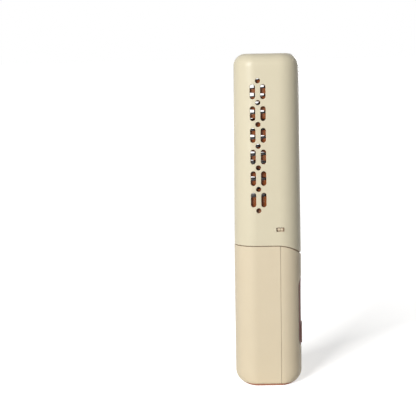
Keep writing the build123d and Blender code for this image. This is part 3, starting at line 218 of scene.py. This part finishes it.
# %% White world
WORLD_FILL = 0.05
world = bpy.data.worlds.new("studio")
bpy.context.scene.world = world
world.use_nodes = True
world.node_tree.nodes.clear()
level = add(
    world,
    "ShaderNodeMapRange",
    {"Value": seen_directly(world), "To Min": WORLD_FILL, "To Max": 1.0},
)
background = add(
    world,
    "ShaderNodeBackground",
    {"Color": linear("FFFFFF"), "Strength": level.outputs[0]},
)
add(world, "ShaderNodeOutputWorld", {"Surface": background.outputs[0]})
print("world fill", WORLD_FILL)

# %% [markdown]
# ## Lamps
# One large soft box stands in front on the left and does most of the work, so the round spine on
# the right falls off into shade. A weaker box low down behind the comb draws a thin light line
# along that shaded edge and keeps the back readable. Each lamp is given by where it stands and by
# how bright white paper would look under it alone, and the power in watts follows from its
# distance.


# %% Soft boxes
def soft_box(name, turn, height, distance, width, tall, level):
    """A rectangular lamp aimed at the middle of the comb; level 1 makes white paper white.

    Turn and height are the angles to the lamp in degrees, and the lengths are in metres.
    """
    middle = Vector((0, 0, cap_high.z / 2)) * MM
    way = Vector(
        (
            math.sin(math.radians(turn)) * math.cos(math.radians(height)),
            -math.cos(math.radians(turn)) * math.cos(math.radians(height)),
            math.sin(math.radians(height)),
        )
    )
    data = bpy.data.lights.new(name, "AREA")
    data.shape = "RECTANGLE"
    data.size = width
    data.size_y = tall
    # a flat lamp of P watts lights white paper at P / (pi * distance)**2
    data.energy = level * (math.pi * distance) ** 2
    lamp = bpy.data.objects.new(name, data)
    lamp.location = middle + way * distance
    lamp.rotation_mode = "QUATERNION"
    lamp.rotation_quaternion = (-way).to_track_quat("-Z", "Y")
    bpy.context.scene.collection.objects.link(lamp)
    print(name, round(data.energy, 1), "W")


soft_box("key_box", turn=-30, height=20, distance=2.4, width=0.9, tall=1.3, level=0.94)
soft_box("back_box", turn=158, height=9, distance=2.4, width=0.8, tall=0.6, level=0.3)

# %% [markdown]
# ## Moulded plastics
# ABS shells come out of a steel tool whose surface was spark-eroded, which leaves a very fine
# grain and a satin shine. The finish is built from three noises: slow clouds that shift the colour
# by a shade, a medium ripple that makes highlights waver as on any moulded wall, and the grain.
# One recipe serves every moulding, and each gets its own colour, shine and grain. The two cream
# shells also get painted shade: dark warm brown painted into their colour where they are boxed in,
# as behind the vents. That painted shade starts above the table, which sends white light back, and
# on the handle above the neck, which the cap hugs.

# %% Painted shade in boxed-in places
# painted shade: the dark warm brown that stands in for weak bounced light in boxed-in places
PAINTED_SHADE_BROWN = "8E4606"
# mm within which a wall counts
PAINTED_SHADE_REACH = 6
# the open share of the room where the painted shade sets in, and where it is full
PAINTED_SHADE_START = 0.88
PAINTED_SHADE_FULL = 0.6
# mm above the table: just clear of it, and past the top of the neck
ABOVE_TABLE = 8
ABOVE_NECK = 104
# half the height in mm over which the painted shade fades in
PAINTED_SHADE_FADE = 4


def painted_recess_shade(material, place, tint, start):
    """Paints shade from a height of start: dark warm brown in the colour where walls box it in.

    It stands in for light that bounces between walls: each bounce takes some blue and green
    away, so what comes back is weaker and warmer.
    """
    # painted shade: ambient occlusion finds where walls box the surface in
    sky = add(material, "ShaderNodeAmbientOcclusion", {"Distance": PAINTED_SHADE_REACH * MM}, samples=8)
    boxed = add(
        material,
        "ShaderNodeMapRange",
        {"Value": sky.outputs["AO"], "From Min": PAINTED_SHADE_START, "From Max": PAINTED_SHADE_FULL},
    )
    height = add(material, "ShaderNodeSeparateXYZ", {0: place})
    lifted = add(
        material,
        "ShaderNodeMapRange",
        {
            "Value": height.outputs["Z"],
            "From Min": (start - PAINTED_SHADE_FADE) * MM,
            "From Max": (start + PAINTED_SHADE_FADE) * MM,
        },
    )
    painted_shade_share = add(
        material,
        "ShaderNodeMath",
        {0: boxed.outputs[0], 1: lifted.outputs[0]},
        operation="MULTIPLY",
    )
    # painted shade: the brown is mixed into the colour by that share
    return add(
        material,
        "ShaderNodeMix",
        {"Factor": painted_shade_share.outputs[0], 6: tint.outputs[2], 7: linear(PAINTED_SHADE_BROWN)},
        data_type="RGBA",
    )


# %% Recipe for a moulding
# widths in mm of one cloud of colour and of one ripple
CLOUD_WIDTH = 14
RIPPLE_WIDTH = 5
# the noise of the specks mostly lies between these, and moves the roughness this far each way
SPECK_LOW = 0.3
SPECK_HIGH = 0.7
SPECK_SPREAD = 0.04
PLASTIC_IOR = 1.53


def moulding(
    name,
    colour,
    shade,
    roughness,
    grain=0.35,
    grain_depth=0.004,
    ripple_depth=0.02,
    gloss=0.3,
    painted_shade_from=None,
):
    """A moulded plastic; grain is the width of one speck and depths are bump heights, in mm.

    Gloss is how much the skin mirrors. Given a height in mm as the last argument, boxed-in places
    get painted shade, a dark warm brown, from that height.
    """
    material = blank(name)
    place = add(material, "ShaderNodeTexCoord").outputs["Object"]
    clouds = add(
        material,
        "ShaderNodeTexNoise",
        {"Vector": place, "Scale": 1 / (CLOUD_WIDTH * MM), "Detail": 3.0, "Roughness": 0.55},
    )
    tint = add(
        material,
        "ShaderNodeMix",
        {"Factor": clouds.outputs[0], 6: linear(shade), 7: linear(colour)},
        data_type="RGBA",
    )
    # painted shade: dark warm brown in boxed-in places, in place of weak bounced light
    if painted_shade_from is not None:
        tint = painted_recess_shade(material, place, tint, painted_shade_from)
    specks = add(
        material,
        "ShaderNodeTexNoise",
        {"Vector": place, "Scale": 1 / (grain * MM), "Detail": 2.0, "Roughness": 0.6},
    )
    shine = add(
        material,
        "ShaderNodeMapRange",
        {
            "Value": specks.outputs[0],
            "From Min": SPECK_LOW,
            "From Max": SPECK_HIGH,
            "To Min": roughness - SPECK_SPREAD,
            "To Max": roughness + SPECK_SPREAD,
        },
    )
    ripple = add(
        material,
        "ShaderNodeTexNoise",
        {"Vector": place, "Scale": 1 / (RIPPLE_WIDTH * MM), "Detail": 1.0},
    )
    wave = add(
        material,
        "ShaderNodeBump",
        {"Height": ripple.outputs[0], "Distance": ripple_depth * MM, "Strength": 0.6},
    )
    bumps = add(
        material,
        "ShaderNodeBump",
        {
            "Height": specks.outputs[0],
            "Distance": grain_depth * MM,
            "Strength": 0.8,
            "Normal": wave.outputs[0],
        },
    )
    body = add(
        material,
        "ShaderNodeBsdfPrincipled",
        {
            "Base Color": tint.outputs[2],
            "Roughness": shine.outputs[0],
            "Normal": bumps.outputs[0],
            "IOR": PLASTIC_IOR,
            "Specular IOR Level": gloss,
        },
    )
    return show(material, body.outputs[0])


# %% Shell colours
finishes = {
    # warm cream with a soft wide highlight, as spark erosion breaks the shine up, and painted
    # shade in dark warm brown where it is boxed in above the neck
    "body_plastic": moulding(
        "abs_cream_spark_eroded", "EEDFC2", "EADABB", 0.4, painted_shade_from=ABOVE_NECK
    ),
    # a little lighter and yellower than the handle, since it comes from another batch, with
    # painted shade in dark warm brown where it is boxed in
    "cap_plastic": moulding(
        "abs_ivory_spark_eroded", "ECE2C6", "E8DEC1", 0.34, painted_shade_from=ABOVE_TABLE
    ),
    # a terracotta line under the handle, duller because nobody looks at it
    "base_plastic": moulding("abs_terracotta_moulded", "D29377", "CB8B6F", 0.5),
    # a polished tool leaves a smooth skin, so the brown panel shows narrow, weak highlights
    "panel_plastic": moulding(
        "abs_brown_polished", "904A32", "87432D", 0.3, grain_depth=0.001, gloss=0.09
    ),
    # redder and duller than the panel round it, which makes the button easy to find
    "button_plastic": moulding("abs_red_brown_moulded", "884430", "803E2A", 0.36, gloss=0.09),
    # glass fibres at the surface make the black look dusty
    "carrier_plastic": moulding("nylon_glass_filled_black", "23211E", "2B2825", 0.55),
    # plain dark grey with a weak shine
    "frame_plastic": moulding("abs_charcoal_moulded", "2A2A2C", "242426", 0.5),
    # dense black with a sharp little glint, at the back of the socket
    "tongue": moulding("lcp_black_moulded", "0E0E0E", "141414", 0.4),
    # matt black with a fine sandy grain
    "chip": moulding("epoxy_black_moulded", "141415", "1A1A1C", 0.6, grain=0.12),
    # pale and quite dull, with the fibres just visible
    "paper": moulding("fish_paper_pressed", "DBD8CA", "D2CFC0", 0.85, grain=0.15),
    # pressed powder: charcoal grey that hardly shines
    "ferrite": moulding("ferrite_pressed", "333335", "3B3A3A", 0.7, grain=0.2),
    # green lacquer over copper, wet-looking and even
    "board": moulding("fr4_green_lacquered", "0E4A2B", "0C4226", 0.3),
    # fired and unglazed, so grey and chalky
    "ceramic": moulding("barium_titanate_fired", "6B6661", "75706A", 0.8, grain=0.2),
    # woven glass, off-white and rough
    "fuse_sleeve": moulding("glass_sleeve_braided", "D9D6CA", "CFCCC0", 0.8, grain=0.25),
    # silicone is soft and slightly waxy
    "red_wire": moulding("silicone_red_extruded", "9E120F", "90100D", 0.45),
    # the same waxy skin in black
    "black_wire": moulding("silicone_black_extruded", "0D0D0D", "121212", 0.45),
    # the same waxy skin in off-white
    "white_wire": moulding("silicone_white_extruded", "DAD9D4", "D2D1CB", 0.45),
    # thin film drawn tight, so the blue has a clean even shine
    "cell_sleeve": moulding("pvc_sleeve_shrunk", "2F7890", "2B7188", 0.3),
    # clear amber film with a hard shine
    "insulation_film": moulding("polyimide_film_cast", "B86A1E", "AE6219", 0.2),
    # yellow phosphor under a clear smooth drop
    "led": moulding("led_resin_cast", "F2E09A", "EAD78F", 0.2),
    # milky and smooth, so that it spreads the light evenly
    "light_guide": moulding("acrylic_milky_moulded", "EBEDF0", "E4E6EA", 0.25),
}
print("mouldings:", len(finishes))

# %% [markdown]
# ## Metals and the coated comb
# The heated comb is cast aluminium with a black ceramic coat that is baked on, which looks nearly
# black with a soft shine. Plated steel, drawn aluminium and spring brass are bare metals: fully
# metallic, with a light frost in their roughness.

# %% Recipe for a bare metal
# the frost moves the roughness this far each way, and its specks are this many mm high
FROST_SPREAD = 0.08
FROST_HEIGHT = 0.002


def metal(name, colour, roughness, grain=0.15):
    """A bare metal with a fine frost in its shine; grain is the width of one speck in mm."""
    material = blank(name)
    place = add(material, "ShaderNodeTexCoord").outputs["Object"]
    frost = add(
        material,
        "ShaderNodeTexNoise",
        {"Vector": place, "Scale": 1 / (grain * MM), "Detail": 3.0},
    )
    shine = add(
        material,
        "ShaderNodeMapRange",
        {
            "Value": frost.outputs[0],
            "To Min": roughness - FROST_SPREAD,
            "To Max": roughness + FROST_SPREAD,
        },
    )
    bumps = add(
        material,
        "ShaderNodeBump",
        {"Height": frost.outputs[0], "Distance": FROST_HEIGHT * MM, "Strength": 0.6},
    )
    body = add(
        material,
        "ShaderNodeBsdfPrincipled",
        {
            "Base Color": linear(colour),
            "Metallic": 1.0,
            "Roughness": shine.outputs[0],
            "Normal": bumps.outputs[0],
        },
    )
    return show(material, body.outputs[0])


# nickel gives the steel a warm grey shine that is clear but not mirror-like
finishes["steel"] = metal("steel_nickel_plated", "C9C6C0", 0.28)
# drawing leaves the aluminium bright and slightly frosted
finishes["aluminium"] = metal("aluminium_drawn", "D6D7D8", 0.32)
# rolled spring brass is golden, with a soft shine
finishes["brass"] = metal("spring_brass_rolled", "C9A45C", 0.3)
print("with the metals:", len(finishes))

# %% Ceramic coat on the heated comb
# width and height of one wave of the coat, in mm
PEEL_WIDTH = 0.5
PEEL_HEIGHT = 0.006
# the baked coat is nearly black, and its orange-peel waves break up a soft shine
coat = blank("ceramic_coat_black_baked")
place = add(coat, "ShaderNodeTexCoord").outputs["Object"]
peel = add(
    coat,
    "ShaderNodeTexNoise",
    {"Vector": place, "Scale": 1 / (PEEL_WIDTH * MM), "Detail": 2.0},
)
shine = add(
    coat,
    "ShaderNodeMapRange",
    {"Value": peel.outputs[0], "To Min": 0.4, "To Max": 0.54},
)
bumps = add(
    coat,
    "ShaderNodeBump",
    {"Height": peel.outputs[0], "Distance": PEEL_HEIGHT * MM, "Strength": 0.7},
)
body = add(
    coat,
    "ShaderNodeBsdfPrincipled",
    {
        "Base Color": linear("1B1918"),
        "Roughness": shine.outputs[0],
        "Normal": bumps.outputs[0],
        "IOR": 1.6,
        "Specular IOR Level": 0.3,
    },
)
finishes["comb_coating"] = show(coat, body.outputs[0])
print("with the coated comb:", len(finishes))

# %% [markdown]
# ## Clear parts
# The display window is polycarbonate with smoke dye, so it looks black until the digits behind it
# light up. The heat sensor sits in a bead of clear glass.

# %% Window and bead
# dyed nearly black and polished, so the window shows the room and little of what is behind it
smoke = blank("polycarbonate_smoked_polished")
body = add(
    smoke,
    "ShaderNodeBsdfPrincipled",
    {
        "Base Color": linear("1C1614"),
        "Roughness": 0.08,
        "IOR": 1.58,
        "Transmission Weight": 0.15,
    },
)
finishes["lens_plastic"] = show(smoke, body.outputs[0])
# fused glass is smooth all over and lets the amber sensor body show
bead = blank("glass_bead_fused")
body = add(
    bead,
    "ShaderNodeBsdfPrincipled",
    {
        "Base Color": linear("D9A27A"),
        "Roughness": 0.05,
        "IOR": 1.5,
        "Transmission Weight": 0.8,
    },
)
finishes["sensor_glass"] = show(bead, body.outputs[0])
print("with the clear parts:", len(finishes))

# %% [markdown]
# ## Dress the solids
# Each solid already knows which finish it takes, because the model's record names one for every
# piece. So a loop hands them out, and only a piece that is left over would need a choice by hand.

# %% Hand out the finishes
for part in frame["record"]["subparts"]:
    solid = frame["nodes"][part["node"]]
    for material_slot in solid.material_slots:
        material_slot.material = finishes[part["material_slot"]]
